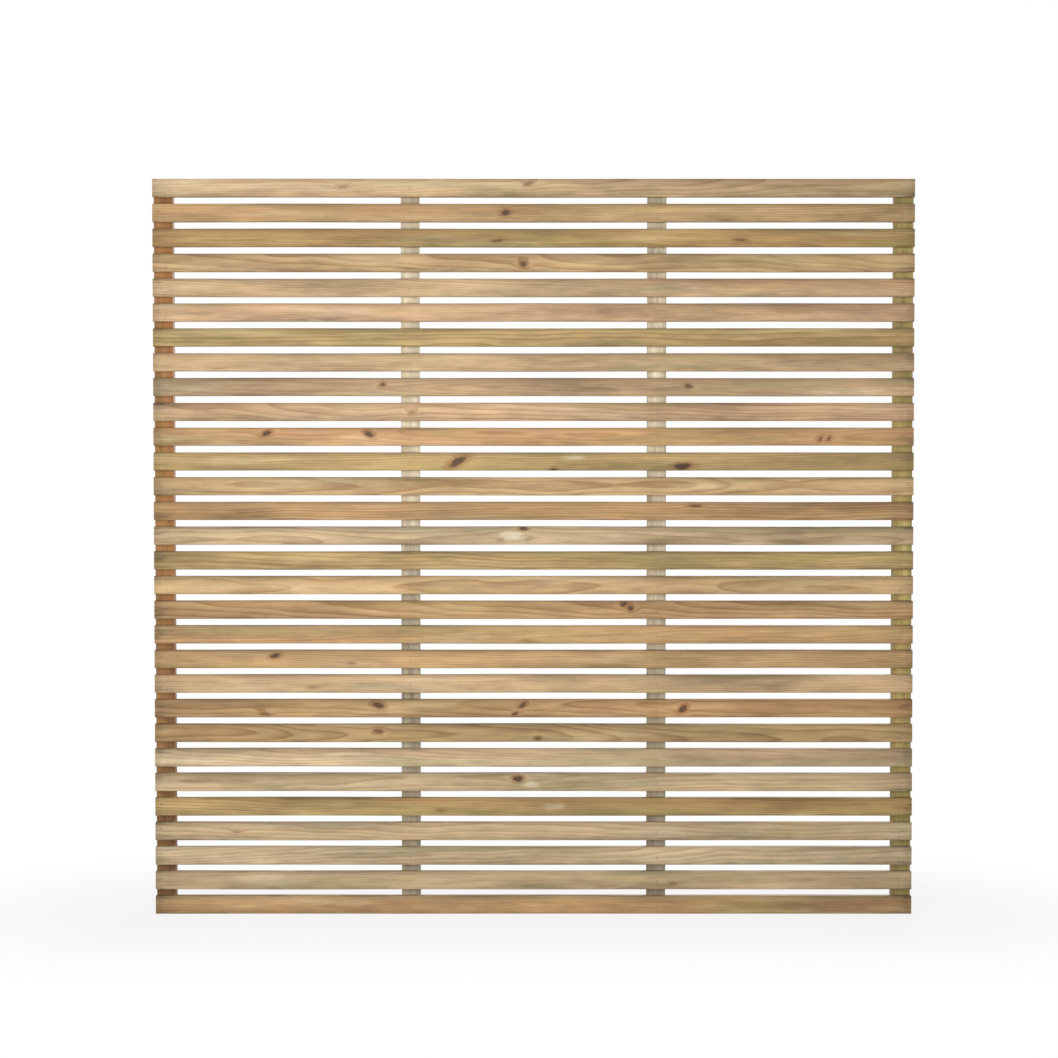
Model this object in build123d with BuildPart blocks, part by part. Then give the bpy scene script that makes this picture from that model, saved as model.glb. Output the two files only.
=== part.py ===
from build123d import *
import os

# Slatted fence panel of planed softwood, in millimetres.
# X runs along the slats, +Y from the slat faces to the back of the battens, +Z up.
# The origin is at the middle of the panel's foot.

# Slats: planed boards laid level, all alike, with rounded face edges and bevelled back edges
panel_width = 1800.0
slat_count = 30
slat_height = 43.0
slat_thickness = 18.0
slat_gap = 15.7
slat_face_radius = 3.0
slat_back_bevel = 1.5

# Battens: uprights behind the slats, the outer two flush with the slat ends
batten_names = ["left_end", "left_middle", "right_middle", "right_end"]
batten_width = 44.0
batten_depth = 33.0
batten_bevel = 1.5

# Fixing pins: flat wire with a chisel point, driven through the slats and set just below their faces
pin_length = 40.0
pin_wire_width = 2.0
pin_wire_thickness = 1.4
pin_point_length = 3.0
pin_set_depth = 0.5
pin_clearance = 0.05
pin_pair_across = 8.0
pin_pair_up = 9.0

# Sizes that follow from the ones above
slat_pitch = slat_height + slat_gap
panel_height = slat_count * slat_pitch - slat_gap
panel_depth = slat_thickness + batten_depth
slat_face_y = -panel_depth / 2
seat_y = slat_face_y + slat_thickness
last_batten = len(batten_names) - 1
outer_batten_x = (panel_width - batten_width) / 2
pin_head_y = slat_face_y + pin_set_depth
pin_tip_y = pin_head_y + pin_length

# Upright planes seen from the front, with +X to the right and +Z up
slat_face_plane = Plane.XZ.offset(-slat_face_y)
seat_plane = Plane.XZ.offset(-seat_y)


def slat_z(row):
    """Mid-height of a slat, with row 0 at the top."""
    return panel_height - slat_height / 2 - row * slat_pitch


def batten_x(index):
    """Middle of a batten, with index 0 at the left."""
    return outer_batten_x * (2 * index / last_batten - 1)


def crossing_pins(index):
    """X of each pin where a slat crosses a batten, and its height above the slat's middle."""
    x = batten_x(index)
    if 0 < index < last_batten:
        return [(x, 0)]
    # An end batten takes two pins on a diagonal, which keep the panel square.
    outward = pin_pair_across if index else -pin_pair_across
    return [(x + outward, pin_pair_up), (x - outward, -pin_pair_up)]


def pin_holes(spots):
    """Outlines of the pin holes at the given places of an upright plane."""
    with Locations(*spots):
        Rectangle(pin_wire_width + 2 * pin_clearance, pin_wire_thickness + 2 * pin_clearance)


os.makedirs("parts", exist_ok=True)
battens = range(len(batten_names))
rows = range(slat_count)
slat_pins = [spot for index in battens for spot in crossing_pins(index)]

# One slat, drilled by its pins, about Z = 0
with BuildPart() as slat:
    with BuildSketch(Plane.YZ) as slat_section:
        with Locations((slat_face_y + slat_thickness / 2, 0)):
            Rectangle(slat_thickness, slat_height)
        fillet(slat_section.vertices().group_by(Axis.X)[0], slat_face_radius)
        chamfer(slat_section.vertices().group_by(Axis.X)[-1], slat_back_bevel)
    extrude(amount=panel_width / 2, both=True)
    with BuildSketch(slat_face_plane):
        pin_holes(slat_pins)
    extrude(amount=-slat_thickness, mode=Mode.SUBTRACT)

# Every slat, from the top down
for row in rows:
    placed_slat = slat.part.moved(Location((0, 0, slat_z(row))))
    placed_slat.label = f"slat_{row + 1:02d}"
    export_step(placed_slat, f"parts/{placed_slat.label}.step")

# Battens, full height, with a blind hole for each pin
for index, name in enumerate(batten_names):
    with BuildPart() as batten:
        with BuildSketch() as batten_section:
            with Locations((batten_x(index), seat_y + batten_depth / 2)):
                Rectangle(batten_width, batten_depth)
            chamfer(batten_section.vertices(), batten_bevel)
        extrude(amount=panel_height)
        with BuildSketch(seat_plane):
            pin_holes([(x, slat_z(row) + up) for row in rows for x, up in crossing_pins(index)])
        extrude(amount=-(pin_tip_y - seat_y + pin_clearance), mode=Mode.SUBTRACT)
    batten.part.label = f"batten_{name}"
    export_step(batten.part, f"parts/{batten.part.label}.step")

# One pin about X = 0 and Z = 0, its wire cut to a one-sided chisel point
with BuildPart() as pin:
    with BuildSketch(Plane.YZ):
        with BuildLine():
            Polyline(
                (pin_head_y, pin_wire_thickness / 2),
                (pin_tip_y, pin_wire_thickness / 2),
                (pin_tip_y - pin_point_length, -pin_wire_thickness / 2),
                (pin_head_y, -pin_wire_thickness / 2),
                close=True,
            )
        make_face()
    extrude(amount=pin_wire_width / 2, both=True)

# Every pin of the panel, each a solid of its own
with BuildPart() as fixing_pins:
    with Locations(*[(x, 0, slat_z(row) + up) for row in rows for x, up in slat_pins]):
        add(pin.part)
fixing_pins.part.label = "fixing_pins"
export_step(fixing_pins.part, "parts/fixing_pins.step")
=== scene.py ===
import math
import random
from collections import namedtuple

import bpy
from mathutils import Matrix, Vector


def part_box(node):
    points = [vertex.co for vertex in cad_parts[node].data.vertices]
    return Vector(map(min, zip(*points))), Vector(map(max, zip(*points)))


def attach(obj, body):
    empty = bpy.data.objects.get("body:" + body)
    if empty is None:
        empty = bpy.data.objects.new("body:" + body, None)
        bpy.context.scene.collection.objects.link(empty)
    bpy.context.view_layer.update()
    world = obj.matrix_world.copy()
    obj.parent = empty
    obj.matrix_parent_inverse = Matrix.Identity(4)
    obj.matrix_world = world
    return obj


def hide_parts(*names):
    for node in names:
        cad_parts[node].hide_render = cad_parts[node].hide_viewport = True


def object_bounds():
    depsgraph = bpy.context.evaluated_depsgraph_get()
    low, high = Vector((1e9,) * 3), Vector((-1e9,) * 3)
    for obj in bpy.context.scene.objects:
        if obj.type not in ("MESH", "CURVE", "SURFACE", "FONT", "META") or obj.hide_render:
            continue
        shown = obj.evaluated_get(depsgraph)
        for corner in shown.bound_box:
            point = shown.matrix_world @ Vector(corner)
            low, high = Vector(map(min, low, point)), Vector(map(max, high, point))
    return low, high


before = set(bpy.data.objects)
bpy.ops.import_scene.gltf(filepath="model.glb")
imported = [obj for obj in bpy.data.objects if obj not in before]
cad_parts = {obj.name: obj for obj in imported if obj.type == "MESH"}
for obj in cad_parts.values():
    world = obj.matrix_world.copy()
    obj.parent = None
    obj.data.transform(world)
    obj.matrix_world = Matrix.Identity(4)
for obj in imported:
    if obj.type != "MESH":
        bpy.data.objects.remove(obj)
cad_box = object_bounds()

# Battens: four uprights of planed pine that carry the slats, pressure-treated like them.
# They are sawn square with their arrises taken off, and laid out first, the outer two at the panel's ends.
# The one at the left is browner than the rest.


class Signal:
    """An output of a material's nodes, which takes part in sums as a number does."""

    def __init__(self, tree, socket=None):
        self.tree = tree
        self.socket = socket

    def node(self, kind, settings, sockets, output=0):
        """Adds a node, sets it, fills or links its sockets and returns one of its outputs, if it has any."""
        made = self.tree.nodes.new(kind)
        for name, setting in settings.items():
            setattr(made, name, setting)
        for name, value in sockets.items():
            if isinstance(value, Signal):
                self.tree.links.new(value.socket, made.inputs[name])
            else:
                made.inputs[name].default_value = value
        return Signal(self.tree, made.outputs[output]) if made.outputs else None

    def math(self, operation, first, second=0.0):
        return self.node("ShaderNodeMath", {"operation": operation}, {0: first, 1: second})

    def __add__(self, other):
        return self.math("ADD", self, other)

    def __radd__(self, other):
        return self.math("ADD", other, self)

    def __sub__(self, other):
        return self.math("SUBTRACT", self, other)

    def __rsub__(self, other):
        return self.math("SUBTRACT", other, self)

    def __mul__(self, other):
        return self.math("MULTIPLY", self, other)

    def __rmul__(self, other):
        return self.math("MULTIPLY", other, self)

    def __truediv__(self, other):
        return self.math("DIVIDE", self, other)

    def __pow__(self, other):
        return self.math("POWER", self, other)

    def ramp(self, low, high):
        """0 where this is at low, 1 where it is at high, with a smooth rise between."""
        ends = {"From Min": low, "From Max": high, "To Min": 0.0, "To Max": 1.0}
        return self.node("ShaderNodeMapRange", {"interpolation_type": "SMOOTHSTEP"}, {"Value": self, **ends})

    def blend(self, first, second):
        """A colour that goes from first to second as this goes from 0 to 1."""
        colours = {"data_type": "RGBA", "clamp_factor": True}
        return self.node("ShaderNodeMix", colours, {0: self, 6: first, 7: second}, 2)


def emptied(owner):
    """A start for the nodes of a new material or world, whose tree is cleared first."""
    owner.use_nodes = True
    owner.node_tree.nodes.clear()
    return Signal(owner.node_tree)


def tone(red, green, blue):
    """A colour as a screen shows it, in steps of 255, for a shader's socket."""

    def linear(step):
        share = step / 255
        return share / 12.92 if share <= 0.04045 else ((share + 0.055) / 1.055) ** 2.4

    return (linear(red), linear(green), linear(blue), 1.0)


# A knot, a fleck of resin or a stain: its place along and across from the board's middle, its half length
# and half height, its slant in degrees and how strongly it shows
Spot = namedtuple("Spot", "along across half_length half_height slant strength")
NOISE_ROOM = 90


class Grain:
    """A board's own directions, taken from its middle, and the noises that its wood is drawn with."""

    def __init__(self, start, axis, low, high, seed):
        self.start = start
        self.draw = random.Random(seed)
        half = (high - low) / 2
        self.half_length, self.half_width = (half.x, half.z) if axis == "X" else (half.z, half.x)
        place = start.node("ShaderNodeTexCoord", {}, {}, "Object")
        local = start.node("ShaderNodeVectorMath", {"operation": "SUBTRACT"}, {0: place, 1: low + half})
        sides = [start.node("ShaderNodeSeparateXYZ", {}, {"Vector": local}, side) for side in "XYZ"]
        self.along, self.thick, self.across = sides if axis == "X" else reversed(sides)
        own_sides = {"X": self.along, "Y": self.thick, "Z": self.across}
        self.place = start.node("ShaderNodeCombineXYZ", {}, own_sides)

    def line_noise(self, signal, per_metre):
        """Noise that changes with one value alone."""
        place = signal * per_metre + self.draw.uniform(0, NOISE_ROOM)
        sockets = {"W": place, "Scale": 1.0, "Detail": 2.0}
        return self.start.node("ShaderNodeTexNoise", {"noise_dimensions": "1D"}, sockets)

    def streaks(self, per_metre_along, per_metre_across, detail=3.0):
        """Noise drawn out along the grain."""
        scale = (per_metre_along, per_metre_across, per_metre_across)
        shift = [self.draw.uniform(0, NOISE_ROOM) for side in "XYZ"]
        sockets = {"Vector": self.place, "Scale": scale, "Location": shift}
        stretched = self.start.node("ShaderNodeMapping", {}, sockets)
        noise_sockets = {"Vector": stretched, "Scale": 1.0, "Detail": detail}
        return self.start.node("ShaderNodeTexNoise", {}, noise_sockets)

    def spread(self, spot, mirrored=False):
        """Distance from a spot's middle, where 1 is its edge. A mirrored spot shows on both halves."""
        along = self.start.math("ABSOLUTE", self.along) if mirrored else self.along
        turn = math.radians(spot.slant)
        from_along = along - spot.along
        from_across = self.across - spot.across
        down_length = (from_along * math.cos(turn) + from_across * math.sin(turn)) / spot.half_length
        down_height = (from_across * math.cos(turn) - from_along * math.sin(turn)) / spot.half_height
        return (down_length * down_length + down_height * down_height) ** 0.5


PITH_REACH = (0.028, 0.085)
PITH_LEAN = 0.022
PITH_WANDER = 0.016
BENDS_PER_METRE_THICK = 1.7
BENDS_PER_METRE_ACROSS = 2.1


def pith_distance(grain):
    """Distance from the log's pith, which wanders beside the board, so its face shows lines or arches."""
    angle = grain.draw.uniform(0, 2 * math.pi)
    reach = grain.draw.uniform(*PITH_REACH)
    lean_thick = grain.draw.uniform(-PITH_LEAN, PITH_LEAN)
    lean_across = grain.draw.uniform(-PITH_LEAN, PITH_LEAN)
    wander_thick = grain.line_noise(grain.along, BENDS_PER_METRE_THICK) * PITH_WANDER
    wander_across = grain.line_noise(grain.along, BENDS_PER_METRE_ACROSS) * PITH_WANDER
    off_thick = grain.thick - (grain.along * lean_thick + wander_thick) - reach * math.cos(angle)
    off_across = grain.across - (grain.along * lean_across + wander_across) - reach * math.sin(angle)
    return (off_thick * off_thick + off_across * off_across) ** 0.5


KNOT_CORE = tone(50, 32, 20)
KNOT_RING = tone(104, 68, 40)
KNOT_COLLAR = tone(141, 94, 54)
KNOT_EDGE = (1.15, 0.6)
COLLAR_EDGE = (2.3, 0.9)
RAGGED_KNOT = 0.9
PUSHED_ASIDE = 0.9
PUSH_FADE = -0.35
KNOT_YEARS = 21.0
UNEVEN_YEARS = 8.0
YEAR_EDGE = (-0.2, 1.0)
YEAR_SHARE = 0.55
BEYOND_KNOTS = 9.0


def knot_figure(grain, knots, ragged):
    """How far the knots push the rings aside, their cores, their redder collars and the wood in them."""
    bulge = core = collar = 0.0
    nearest = BEYOND_KNOTS
    for knot in knots:
        spread = grain.spread(knot) + ragged * RAGGED_KNOT
        nearest = grain.start.math("MINIMUM", spread, nearest)
        core = core + spread.ramp(*KNOT_EDGE) * knot.strength
        collar = collar + spread.ramp(*COLLAR_EDGE) * knot.strength
        push = grain.start.math("EXPONENT", spread * spread * PUSH_FADE)
        bulge = bulge + push * (knot.half_height * PUSHED_ASIDE)
    years = grain.start.math("SINE", nearest * KNOT_YEARS + ragged * UNEVEN_YEARS).ramp(*YEAR_EDGE)
    return bulge, core, collar, (years * YEAR_SHARE).blend(KNOT_CORE, KNOT_RING)


# The wood of one board: early is the soft pale part of a year's ring and late its hard dark edge.
Pine = namedtuple("Pine", "early late heart green bleached ring_width contrast")
# Steps of 255 from the tone of the early wood to the rest
LATE_WOOD = (-50, -55, -52)
HEARTWOOD = (-16, -26, -25)
GREEN_SAPWOOD = (-33, -20, -25)
BLEACHED_WOOD = (17, 28, 34)


def pine(early, ring_width, contrast):
    """The wood of one board, from the tone of its early wood."""
    shades = [(0, 0, 0), LATE_WOOD, HEARTWOOD, GREEN_SAPWOOD, BLEACHED_WOOD]
    tones = [tone(*(step + more for step, more in zip(early, shade))) for shade in shades]
    return Pine(*tones, ring_width, contrast)


# Noises of the wood: how often they change in a metre along the grain and across it, and their fineness
RAGGED = (55, 130, 4.0)
WAVY_RINGS = (6, 45)
HEART_PATCHES = (2.5, 30)
GREEN_PATCHES = (2.2, 26)
BLEACHED_PATCHES = (3.4, 38)
FIBRES = (22, 750, 5.0)
RESIN_STREAKS = (9, 330, 2.0)
RESIN_CANALS = (38, 1500, 1.0)
CLOUDS = (2.6, 24)
BLOTCHES = (15, 80, 2.0)
SPLITS = (5, 210, 1.0)
SAW_MARKS = (600, 600, 2.0)
# A year's ring: how unevenly the years grew, and how its late wood rises and ends
UNEVEN_RINGS_PER_METRE = 70
UNEVEN_GROWTH = 1.1
WAVY_GROWTH = 0.55
LATE_RISE = 2.4
LATE_END = (1.0, 0.9)
# Where each figure starts to show and where it is full
GREEN_EDGE = (0.47, 0.70)
BLEACHED_EDGE = (0.52, 0.74)
RESIN_EDGE = (0.64, 0.76)
SPLIT_LEVEL = 0.52
SPLIT_EDGE = (0.009, 0.001)
FLECK_EDGE = (1.3, 0.3)
RAGGED_FLECK = 1.2
STAIN_EDGE = (1.0, 0.3)
SAWN_EDGE = (0.8, 0.95)
# How far each tone takes over where it is full
HEART_SHARE = 0.6
HEART_CONTRAST = 0.6
GREEN_SHARE = 0.55
BLEACHED_SHARE = 0.35
RESIN_SHARE = 0.38
CANAL_SHARE = 0.45
COLLAR_SHARE = 0.65
CORE_SHARE = 0.95
SPLIT_SHARE = 0.7
SAWN_EARLY_SHARE = 0.25
SAWN_LATE_SHARE = 0.4
# The brightness of the planed face, what each noise adds to it and what each shade takes from it
PLANED_LIGHT = 0.79
FIBRE_LIGHT = 0.48
CLOUD_LIGHT = 1.5
BLOTCH_LIGHT = 0.6
# Painted shade along a board's edges
EDGE_SHADE = 0.09
NEAR_END_SHADE = 0.05
SOAKED_END_SHADE = 0.16
# Painted shade on a slat's top edge
TOP_EDGE_SHADE = 0.16
# Painted shade at an upright's head
HEAD_SHADE = 0.25
# Shares of half a board's width at which the painted shade of an edge starts and that of a top edge is full
EDGE_START = 0.5
TOP_SHADE_FULL = 0.9
# Where each starts and is full in metres: the heart from the pith, splits and soaked wood from a board's
# # end, the painted shade at an upright's foot and head from its middle. Each wavers by its share of a
# noise.
HEART_EDGE = (0.062, 0.042)
HEART_WAVER = 0.03
SPLIT_REACH = 0.08
SOAKED_END = (0.024, 0.004)
END_WAVER = 0.06
SIDE_WAVER = 0.02
# Painted shade, darker towards an upright's foot
SHADED_FOOT = (0.15, -0.85)
FOOT_WAVER = 0.4
# Painted shade, darker towards an upright's head
SHADED_HEAD = (0.72, 0.84)
HEAD_WAVER = 0.1
DRY_RESIN = tone(222, 210, 180)
END_GRAIN = tone(150, 112, 70)
SPLIT_BROWN = tone(74, 52, 34)
PIN_STAIN = tone(92, 84, 76)
# How rough the face is, and how each part of the wood stands up from it or sinks into it
PLANED_ROUGHNESS = 0.52
FIBRE_ROUGHNESS = 0.22
LATE_ROUGHNESS = 0.06
SAWN_ROUGHNESS = 0.15
KNOT_POLISH = 0.12
FIBRE_HEIGHT = 0.7
LATE_HEIGHT = 0.35
RESIN_HEIGHT = 0.2
KNOT_HEIGHT = 0.6
CANAL_DEPTH = 0.2
SPLIT_DEPTH = 1.5
RELIEF = 0.0005
RELIEF_STRENGTH = 0.55
GLOSS = 0.28


def pine_finish(name, axis, low, high, seed, wood_tones, knots=(), flecks=(), pins=(), painted_foot_shade=0.0):
    """Planed pine from one log: rings, fibres, stains, knots, sawn ends, and painted shade on its edges and
    an upright's head and foot.
    """
    material = bpy.data.materials.new(name)
    start = emptied(material)
    grain = Grain(start, axis, low, high, seed)
    reach = pith_distance(grain)
    ragged = grain.streaks(*RAGGED) - 0.5
    bulge, core, collar, knot_wood = knot_figure(grain, knots, ragged)

    # A year's ring darkens slowly to its late wood and ends there sharply.
    uneven = grain.line_noise(reach, UNEVEN_RINGS_PER_METRE) * UNEVEN_GROWTH
    uneven = uneven + grain.streaks(*WAVY_RINGS) * WAVY_GROWTH
    ring = start.math("FRACT", (reach - bulge) / wood_tones.ring_width + uneven)
    late = ring ** LATE_RISE * ring.ramp(*LATE_END)

    # The log's heart is redder, the preservative leaves the sapwood green and the sun bleaches some of it.
    heart = (reach + grain.streaks(*HEART_PATCHES) * HEART_WAVER).ramp(*HEART_EDGE)
    green = grain.streaks(*GREEN_PATCHES).ramp(*GREEN_EDGE)
    bleach = grain.streaks(*BLEACHED_PATCHES).ramp(*BLEACHED_EDGE)
    fibre = grain.streaks(*FIBRES)
    resin = grain.streaks(*RESIN_STREAKS).ramp(*RESIN_EDGE)
    canals = grain.streaks(*RESIN_CANALS).ramp(*RESIN_EDGE)
    clouds = grain.streaks(*CLOUDS) - 0.5
    blotches = grain.streaks(*BLOTCHES) - 0.5
    wood = (late * wood_tones.contrast).blend(wood_tones.early, wood_tones.late)
    heartwood = (late * HEART_CONTRAST).blend(wood_tones.heart, wood_tones.late)
    wood = (heart * HEART_SHARE).blend(wood, heartwood)
    wood = (green * GREEN_SHARE).blend(wood, wood_tones.green)
    wood = (bleach * BLEACHED_SHARE).blend(wood, wood_tones.bleached)
    resinous = start.math("MAXIMUM", resin * RESIN_SHARE, canals * CANAL_SHARE)
    wood = resinous.blend(wood, wood_tones.late)
    for fleck in flecks:
        dry = (grain.spread(fleck) + ragged * RAGGED_FLECK).ramp(*FLECK_EDGE) * fleck.strength
        wood = dry.blend(wood, DRY_RESIN)
    if knots:
        wood = (collar * COLLAR_SHARE).blend(wood, KNOT_COLLAR)
        wood = (core * CORE_SHARE).blend(wood, knot_wood)

    # Sawn ends drink more preservative and show the rings as arcs.
    facing = start.node("ShaderNodeNewGeometry", {}, {}, "True Normal")
    facing_end = start.node("ShaderNodeSeparateXYZ", {}, {"Vector": facing}, axis)
    sawn_end = start.math("ABSOLUTE", facing_end).ramp(*SAWN_EDGE)
    wood = (sawn_end * (SAWN_EARLY_SHARE + late * SAWN_LATE_SHARE)).blend(wood, END_GRAIN)

    # The ends have split a little in drying, and rain has drawn a faint grey stain from each pin.
    from_end = grain.half_length - start.math("ABSOLUTE", grain.along)
    near_end = from_end.ramp(SPLIT_REACH, 0.0)
    split = start.math("ABSOLUTE", grain.streaks(*SPLITS) - SPLIT_LEVEL).ramp(*SPLIT_EDGE) * near_end
    wood = (split * SPLIT_SHARE).blend(wood, SPLIT_BROWN)
    for pin in pins:
        stain = (grain.spread(pin, mirrored=True) + ragged).ramp(*STAIN_EDGE) * pin.strength
        wood = stain.blend(wood, PIN_STAIN)

    # The preservative soaks deepest at the ends. Painted shade darkens the edges, more so a slat's top edge,
    # # and an upright's foot and head.
    sideways = grain.across + blotches * SIDE_WAVER
    shaded_edge = start.math("ABSOLUTE", sideways).ramp(grain.half_width * EDGE_START, grain.half_width)
    soaked_end = (from_end + clouds * END_WAVER).ramp(*SOAKED_END)
    brightness = PLANED_LIGHT + fibre * FIBRE_LIGHT + clouds * CLOUD_LIGHT + blotches * BLOTCH_LIGHT
    brightness = brightness - shaded_edge * EDGE_SHADE - near_end * NEAR_END_SHADE - soaked_end * SOAKED_END_SHADE
    # Painted shade, darker towards an upright's foot and head
    if painted_foot_shade:
        foot = (grain.along + clouds * FOOT_WAVER).ramp(*SHADED_FOOT)
        head = (grain.along + clouds * HEAD_WAVER).ramp(*SHADED_HEAD)
        brightness = brightness * (1 - foot * painted_foot_shade) * (1 - head * HEAD_SHADE)
    else:
        # Painted shade on a slat's top edge
        shaded_top_edge = sideways.ramp(grain.half_width * EDGE_START, grain.half_width * TOP_SHADE_FULL)
        brightness = brightness - shaded_top_edge * TOP_EDGE_SHADE
    colour = start.node("ShaderNodeHueSaturation", {}, {"Value": brightness, "Color": wood})

    roughness = PLANED_ROUGHNESS + fibre * FIBRE_ROUGHNESS + late * LATE_ROUGHNESS
    roughness = roughness - core * KNOT_POLISH + sawn_end * SAWN_ROUGHNESS
    saw_marks = grain.streaks(*SAW_MARKS) * sawn_end
    height = fibre * FIBRE_HEIGHT + late * LATE_HEIGHT + resin * RESIN_HEIGHT + core * KNOT_HEIGHT
    height = height - canals * CANAL_DEPTH - split * SPLIT_DEPTH + saw_marks
    relief = {"Height": height, "Strength": RELIEF_STRENGTH, "Distance": RELIEF}
    normal = start.node("ShaderNodeBump", {}, relief)
    sockets = {"Base Color": colour, "Roughness": roughness, "Normal": normal, "Specular IOR Level": GLOSS}
    surface = start.node("ShaderNodeBsdfPrincipled", {}, sockets)
    start.node("ShaderNodeOutputMaterial", {}, {"Surface": surface})
    return material


BROWN_BATTEN = pine((191, 142, 91), 0.0042, 0.9)
PALE_BATTEN = pine((228, 214, 186), 0.0046, 0.6)
OLIVE_BATTEN = pine((201, 180, 118), 0.0044, 0.8)
# The wood of each batten and how dark the painted shade at its foot is, deepest on the pale ones
BATTENS = {
    "batten_left_end": (BROWN_BATTEN, 0.44),
    "batten_left_middle": (PALE_BATTEN, 0.52),
    "batten_right_middle": (PALE_BATTEN, 0.52),
    "batten_right_end": (OLIVE_BATTEN, 0.30),
}
BATTEN_SEED = 430
for number, (name, (wood_tones, painted_foot_shade)) in enumerate(BATTENS.items()):
    low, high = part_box(name)
    finish = pine_finish(name + "_pine", "Z", low, high, BATTEN_SEED + number, wood_tones, painted_foot_shade=painted_foot_shade)
    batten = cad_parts[name]
    batten.data.materials.clear()
    batten.data.materials.append(finish)

# Slats: level boards of planed, treated pine, machined with rounded face edges and pinned to the battens.
# Each was cut from a different part of the log, so each has a tint of its own, and some have knots.
# Between the battens they have sprung a little, as pinned boards do when they dry.

SLAT_COUNT = 30
SLAT_NAMES = [f"slat_{number:02d}" for number in range(1, SLAT_COUNT + 1)]
FACE_RADIUS = 0.003
BACK_BEVEL = 0.0015
ROUND_STEPS = 6
STATION_SPACING = 0.03
SPRING = 0.0007
SHARP_EDGE = math.radians(30)
HOLE_WIDTH = 0.0021
HOLE_HEIGHT = 0.0015
PIN_PAIR_ACROSS = 0.008
PIN_PAIR_UP = 0.009

batten_middles = [sum(corner.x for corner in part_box(name)) / 2 for name in BATTENS]
left_x, left_middle_x, right_middle_x, right_x = batten_middles
PIN_SPOTS = [
    (left_x - PIN_PAIR_ACROSS, PIN_PAIR_UP),
    (left_x + PIN_PAIR_ACROSS, -PIN_PAIR_UP),
    (left_middle_x, 0.0),
    (right_middle_x, 0.0),
    (right_x + PIN_PAIR_ACROSS, PIN_PAIR_UP),
    (right_x - PIN_PAIR_ACROSS, -PIN_PAIR_UP),
]
STAIN_DROP = 0.003
STAIN_HALF_SIZES = (0.0022, 0.006)
STAIN_STRENGTH = 0.28
# Stains of the right half's pins, which the left half mirrors
PIN_STAINS = [Spot(x, up - STAIN_DROP, *STAIN_HALF_SIZES, 0, STAIN_STRENGTH) for x, up in PIN_SPOTS if x > 0]

# Knots that show on the slats, by row from the top, in metres from the slat's middle
KNOTS = {
    0: [Spot(-0.450, 0.002, 0.012, 0.005, 0, 0.3), Spot(-0.012, 0.010, 0.011, 0.005, 20, 0.5)],
    1: [Spot(-0.066, 0.000, 0.011, 0.007, 15, 0.85)],
    2: [Spot(-0.085, -0.007, 0.016, 0.004, 5, 0.6), Spot(0.487, -0.005, 0.018, 0.004, -4, 0.6)],
    3: [Spot(-0.024, -0.003, 0.008, 0.009, 60, 0.8)],
    8: [Spot(-0.357, 0.006, 0.007, 0.005, 0, 0.75), Spot(0.367, 0.002, 0.005, 0.009, 80, 0.7)],
    9: [Spot(-0.288, 0.000, 0.008, 0.006, 0, 0.35)],
    10: [
        Spot(-0.632, 0.008, 0.013, 0.006, 20, 0.9),
        Spot(-0.390, 0.006, 0.012, 0.007, -25, 0.9),
        Spot(0.679, -0.005, 0.008, 0.005, 50, 0.6),
        Spot(0.699, -0.004, 0.007, 0.005, 50, 0.6),
    ],
    11: [
        Spot(-0.180, 0.000, 0.024, 0.009, 30, 0.95),
        Spot(0.047, -0.019, 0.008, 0.004, 0, 0.8),
        Spot(0.352, -0.012, 0.022, 0.008, 4, 1.0),
    ],
    13: [Spot(0.383, 0.012, 0.016, 0.004, 0, 0.7)],
    14: [Spot(-0.024, 0.017, 0.010, 0.005, 0, 0.9)],
    17: [Spot(0.214, 0.014, 0.009, 0.006, 25, 0.85), Spot(0.230, 0.004, 0.007, 0.008, 60, 0.85)],
    19: [Spot(-0.613, 0.008, 0.012, 0.006, 10, 0.9), Spot(-0.431, -0.009, 0.010, 0.004, 0, 0.3)],
    20: [Spot(-0.525, -0.008, 0.014, 0.004, 0, 0.35)],
    21: [
        Spot(-0.639, -0.012, 0.015, 0.005, -10, 0.6),
        Spot(-0.369, 0.008, 0.014, 0.007, -15, 0.95),
        Spot(-0.026, 0.008, 0.010, 0.005, 30, 0.85),
        Spot(-0.043, -0.012, 0.009, 0.004, 30, 0.7),
        Spot(0.355, 0.000, 0.013, 0.008, 40, 0.9),
    ],
    22: [Spot(-0.369, 0.005, 0.012, 0.006, 0, 0.6), Spot(0.010, -0.012, 0.008, 0.005, 0, 0.6)],
    24: [Spot(-0.038, 0.009, 0.012, 0.007, 0, 0.95)],
    25: [Spot(-0.220, -0.008, 0.012, 0.005, 0, 0.35)],
    26: [Spot(-0.705, 0.000, 0.012, 0.005, 0, 0.3)],
    28: [Spot(0.333, -0.008, 0.012, 0.005, 0, 0.4)],
}
# Flecks of dried resin, mostly beside a knot
FLECKS = {
    11: [Spot(0.095, 0.010, 0.030, 0.007, 0, 0.35)],
    14: [Spot(-0.049, -0.002, 0.034, 0.013, 0, 0.75)],
    24: [Spot(-0.008, -0.006, 0.022, 0.009, 0, 0.6)],
    25: [Spot(0.048, 0.000, 0.030, 0.008, 0, 0.4)],
}

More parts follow.
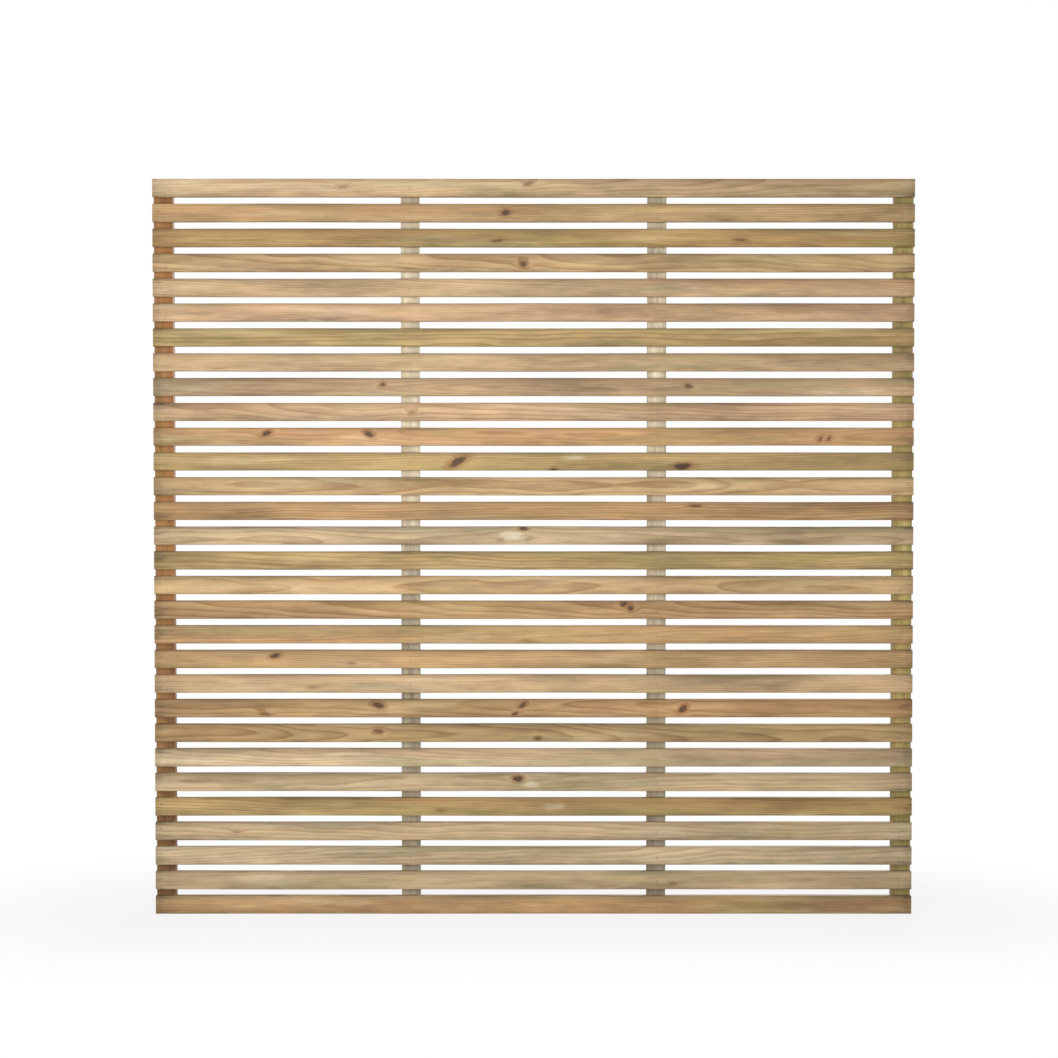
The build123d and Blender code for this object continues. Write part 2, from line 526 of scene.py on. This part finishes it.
# Woods that the boards of one delivery run through
HONEY = pine((195, 164, 120), 0.0048, 0.85)
ROSY = pine((201, 167, 130), 0.0044, 0.8)
OLIVE = pine((184, 157, 108), 0.0050, 0.85)
CREAM = pine((198, 169, 130), 0.0042, 0.75)
CHALK = pine((204, 181, 145), 0.0044, 0.75)
ASH = pine((191, 167, 131), 0.0045, 0.75)
RUSSET = pine((186, 151, 107), 0.0046, 0.85)
UMBER = pine((177, 149, 106), 0.0047, 0.85)
AMBER = pine((191, 157, 113), 0.0047, 0.85)
APRICOT = pine((201, 165, 121), 0.0046, 0.85)
CHESTNUT = pine((180, 145, 102), 0.0046, 0.85)
BOARD_WOODS = [
    CREAM, HONEY, OLIVE, HONEY, CREAM, ROSY, OLIVE, CREAM, ASH, ROSY,
    APRICOT, OLIVE, HONEY, CHESTNUT, ASH, OLIVE, HONEY, RUSSET, HONEY, AMBER,
    CREAM, RUSSET, UMBER, CHALK, ASH, OLIVE, ASH, CHALK, ASH, HONEY,
]
BOARD_SEED = 40


def slat_section(depth, height):
    """Points of a slat's section, up its face, over its top, down its back and under its foot."""
    face, back = -depth / 2, depth / 2
    hole_lines = [up + side * HOLE_HEIGHT / 2 for up in (-PIN_PAIR_UP, 0.0, PIN_PAIR_UP) for side in (-1, 1)]
    level = height / 2 - FACE_RADIUS
    rounding = []
    for step in range(1, ROUND_STEPS + 1):
        turn = math.pi / 2 * step / ROUND_STEPS
        rounding.append((face + FACE_RADIUS * (1 - math.cos(turn)), level + FACE_RADIUS * math.sin(turn)))
    bevel_top = height / 2 - BACK_BEVEL
    points = [(face, line) for line in [-level] + hole_lines + [level]]
    points += rounding
    points.append((back - BACK_BEVEL, height / 2))
    points += [(back, line) for line in [bevel_top] + hole_lines[::-1] + [-bevel_top]]
    points.append((back - BACK_BEVEL, -height / 2))
    points += [(y, -z) for y, z in reversed(rounding)]
    return points


def slat_stations(low_x, high_x):
    """Places along a slat at which its section is set, with one at each side of every hole."""
    steps = round((high_x - low_x) / STATION_SPACING)
    even = [low_x + (high_x - low_x) * step / steps for step in range(steps + 1)]
    clear = [x for x in even if all(abs(x - spot_x) > HOLE_WIDTH for spot_x, up in PIN_SPOTS)]
    hole_sides = {spot_x + side * HOLE_WIDTH / 2 for spot_x, up in PIN_SPOTS for side in (-1, 1)}
    return sorted(hole_sides.union(clear))


def slat_mesh(name, low, high, draw):
    """A board between these corners, sprung between the battens, with a hole through it for each pin."""
    middle = (low + high) / 2
    section = slat_section(high.y - low.y, high.z - low.z)
    stations = slat_stations(low.x, high.x)
    bays = list(zip(batten_middles, batten_middles[1:]))
    lowest_spring = max(-SPRING, cad_box[0][2] - low.z)
    springs = [(draw.uniform(-SPRING, SPRING), draw.uniform(lowest_spring, SPRING)) for bay in bays]

    def sprung(x):
        for (start, end), (out, up) in zip(bays, springs):
            if start <= x <= end:
                share = math.sin(math.pi * (x - start) / (end - start)) ** 2
                return out * share, up * share
        return 0.0, 0.0

    points = []
    for x in stations:
        out, up = sprung(x)
        points += [(x, middle.y + y + out, middle.z + z + up) for y, z in section]

    # The quads that a hole leaves out of the face and of the back, by station and place in the section
    face_y, back_y = section[0][0], -section[0][0]
    face_line = {round(z, 6): k for k, (y, z) in enumerate(section) if y == face_y}
    back_line = {round(z, 6): k for k, (y, z) in enumerate(section) if y == back_y}
    holes = []
    for spot_x, spot_up in PIN_SPOTS:
        foot = round(spot_up - HOLE_HEIGHT / 2, 6)
        head = round(spot_up + HOLE_HEIGHT / 2, 6)
        station = stations.index(spot_x - HOLE_WIDTH / 2)
        holes.append((station, face_line[foot], back_line[foot], back_line[head]))
    left_out = {(station, face_foot) for station, face_foot, back_foot, back_head in holes}
    left_out |= {(station, back_head) for station, face_foot, back_foot, back_head in holes}

    around = len(section)
    last = (len(stations) - 1) * around
    faces = [list(range(around)), [last + k for k in reversed(range(around))]]
    for station in range(len(stations) - 1):
        here, there = station * around, (station + 1) * around
        for k in range(around):
            after = (k + 1) % around
            if (station, k) not in left_out:
                faces.append([here + k, there + k, there + after, here + after])
    for station, face_foot, back_foot, back_head in holes:
        here, there = station * around, (station + 1) * around
        face_ring = [here + face_foot, here + face_foot + 1, there + face_foot + 1, there + face_foot]
        back_ring = [here + back_foot, here + back_head, there + back_head, there + back_foot]
        for corner in range(4):
            after = (corner + 1) % 4
            faces.append([face_ring[corner], back_ring[corner], back_ring[after], face_ring[after]])

    mesh = bpy.data.meshes.new(name)
    mesh.from_pydata(points, [], faces)
    mesh.validate()
    mesh.polygons.foreach_set("use_smooth", [True] * len(mesh.polygons))
    mesh.set_sharp_from_angle(angle=SHARP_EDGE)
    return mesh


for row, (node, wood_tones) in enumerate(zip(SLAT_NAMES, BOARD_WOODS)):
    low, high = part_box(node)
    board = bpy.data.objects.new(node + "_board", slat_mesh(node + "_board", low, high, random.Random(row)))
    bpy.context.scene.collection.objects.link(board)
    spots = {"knots": KNOTS.get(row, ()), "flecks": FLECKS.get(row, ()), "pins": PIN_STAINS}
    finish = pine_finish(node + "_pine", "X", low, high, BOARD_SEED + row, wood_tones, **spots)
    board.data.materials.append(finish)
    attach(board, "root")
    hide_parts(node)

# Fixing pins: flat galvanised wire, driven from the face through each slat into the batten behind.
# The gun sets them just under the face, so that only a dull grey tip shows in its slot.

ZINC_DARK = tone(132, 132, 130)
ZINC_BRIGHT = tone(172, 173, 171)
SPANGLES_PER_METRE = 900.0
SPANGLE_FINENESS = 4.0
SPANGLE_EDGE = (0.3, 0.75)
SPANGLE_RELIEF = 0.0002
SPANGLE_STRENGTH = 0.4
ZINC_ROUGHNESS = 0.38
SPANGLE_ROUGHNESS = 0.3
ZINC_METAL = 0.85

zinc = bpy.data.materials.new("pin_zinc")
start = emptied(zinc)
place = start.node("ShaderNodeTexCoord", {}, {}, "Object")
noise_sockets = {"Vector": place, "Scale": SPANGLES_PER_METRE, "Detail": SPANGLE_FINENESS}
spangle = start.node("ShaderNodeTexNoise", {}, noise_sockets)
colour = spangle.ramp(*SPANGLE_EDGE).blend(ZINC_DARK, ZINC_BRIGHT)
relief = {"Height": spangle, "Strength": SPANGLE_STRENGTH, "Distance": SPANGLE_RELIEF}
normal = start.node("ShaderNodeBump", {}, relief)
roughness = ZINC_ROUGHNESS + spangle * SPANGLE_ROUGHNESS
zinc_sockets = {"Base Color": colour, "Roughness": roughness, "Metallic": ZINC_METAL, "Normal": normal}
surface = start.node("ShaderNodeBsdfPrincipled", {}, zinc_sockets)
start.node("ShaderNodeOutputMaterial", {}, {"Surface": surface})
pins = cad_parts["fixing_pins"]
pins.data.materials.clear()
pins.data.materials.append(zinc)

# Floor and backdrop: a plain white studio of matt paper, which the panel stands on.
# What the camera sees of it is white, apart from the soft shadow close round the panel's foot.

FLOOR_REACH = 30.0
FLOOR_WHITE = (0.8, 0.8, 0.8, 1.0)
STUDIO_WHITE = (1.0, 1.0, 1.0, 1.0)
SHADOW_SHARE = 0.18
SHADOW_REACH = (0.75, 0.05)
FILL = 0.38


def seen(start):
    """1 for a ray from the camera, or one that it sees in metal or through glass."""
    kinds = ("Is Camera Ray", "Is Glossy Ray", "Is Transmission Ray")
    camera_ray, glossy_ray, through_ray = (start.node("ShaderNodeLightPath", {}, {}, kind) for kind in kinds)
    return start.math("MINIMUM", camera_ray + glossy_ray + through_ray, 1.0)


floor_mesh = bpy.data.meshes.new("floor")
corners = [(x * FLOOR_REACH, y * FLOOR_REACH, 0.0) for x, y in ((-1, -1), (1, -1), (1, 1), (-1, 1))]
floor_mesh.from_pydata(corners, [], [(0, 1, 2, 3)])
floor = bpy.data.objects.new("floor", floor_mesh)
bpy.context.scene.collection.objects.link(floor)

paper = bpy.data.materials.new("floor_paper")
start = emptied(paper)
matt = start.node("ShaderNodeBsdfDiffuse", {}, {"Color": FLOOR_WHITE})
glow = start.node("ShaderNodeEmission", {}, {"Color": STUDIO_WHITE, "Strength": 1.0})
place = start.node("ShaderNodeTexCoord", {}, {}, "Object")
along = start.node("ShaderNodeSeparateXYZ", {}, {"Vector": place}, "X")
out = start.node("ShaderNodeSeparateXYZ", {}, {"Vector": place}, "Y")
past_end = start.math("MAXIMUM", start.math("ABSOLUTE", along) - cad_box[1][0], 0.0)
from_panel = (past_end * past_end + out * out) ** 0.5
shadow = from_panel.ramp(*SHADOW_REACH) * SHADOW_SHARE
surface = start.node("ShaderNodeMixShader", {}, {0: seen(start) * (1 - shadow), 1: matt, 2: glow})
start.node("ShaderNodeOutputMaterial", {}, {"Surface": surface})
floor.data.materials.append(paper)

world = bpy.data.worlds.new("studio")
bpy.context.scene.world = world
start = emptied(world)
fill = start.node("ShaderNodeBackground", {}, {"Color": STUDIO_WHITE, "Strength": FILL})
white = start.node("ShaderNodeBackground", {}, {"Color": STUDIO_WHITE, "Strength": 1.0})
backdrop = start.node("ShaderNodeMixShader", {}, {0: seen(start), 1: fill, 2: white})
start.node("ShaderNodeOutputWorld", {}, {"Surface": backdrop})

# Lamps: two soft boxes on stands. The light of a tall one, close in front and left of the middle, fades
# towards both ends, and a wide one behind, at the other side, keeps the back and the gaps from being dark.

LAMP_AIM = Vector((-0.2, 0.0, 1.0))
Lamp = namedtuple("Lamp", "stand width height watts")
LAMPS = {
    "front_soft_box": Lamp(Vector((-0.5, -2.5, 1.3)), 1.2, 2.0, 47.0),
    "back_soft_box": Lamp(Vector((1.6, 4.4, 1.9)), 1.8, 1.8, 114.0),
}
for name, (stand, width, height, watts) in LAMPS.items():
    lamp_data = bpy.data.lights.new(name, "AREA")
    lamp_data.shape = "RECTANGLE"
    lamp_data.size = width
    lamp_data.size_y = height
    lamp_data.energy = watts
    lamp = bpy.data.objects.new(name, lamp_data)
    lamp.location = stand
    lamp.rotation_euler = (LAMP_AIM - stand).to_track_quat("-Z", "Y").to_euler()
    lamp.visible_camera = False
    bpy.context.scene.collection.objects.link(lamp)

# Camera: straight on to the slats at chest height, above the panel's middle, and looking slightly down.
# The lens fits the panel's width to the pixels that it spans in a square picture, and a small shift frames
# the panel there.

IMAGE_SIDE = 1058
PANEL_PIXELS = 760.2
PANEL_CENTRE_PIXEL = (533.6, 548.3)
CAMERA_DISTANCE = 5.0
CAMERA_HEIGHT = 1.15
CAMERA_DIP = math.radians(1.7)
SENSOR = 36.0

panel_low, panel_high = cad_box
panel_middle_z = (panel_high[2] + panel_low[2]) / 2
metres_per_pixel = (panel_high[0] - panel_low[0]) / PANEL_PIXELS
frame_width = IMAGE_SIDE * metres_per_pixel
frame_middle_z = panel_middle_z + (PANEL_CENTRE_PIXEL[1] - IMAGE_SIDE / 2) * metres_per_pixel
aim_z = CAMERA_HEIGHT - CAMERA_DISTANCE * math.tan(CAMERA_DIP)
camera_data = bpy.data.cameras.new("camera")
camera_data.sensor_width = SENSOR
camera_data.lens = SENSOR * CAMERA_DISTANCE / frame_width
camera_data.shift_y = (frame_middle_z - aim_z) / frame_width
camera = bpy.data.objects.new("camera", camera_data)
camera_x = (IMAGE_SIDE / 2 - PANEL_CENTRE_PIXEL[0]) * metres_per_pixel
camera.location = (camera_x, panel_low[1] - CAMERA_DISTANCE, CAMERA_HEIGHT)
camera.rotation_euler = (math.pi / 2 - CAMERA_DIP, 0.0, 0.0)
bpy.context.scene.collection.objects.link(camera)
bpy.context.scene.camera = camera
bpy.context.scene.view_settings.view_transform = "Standard"
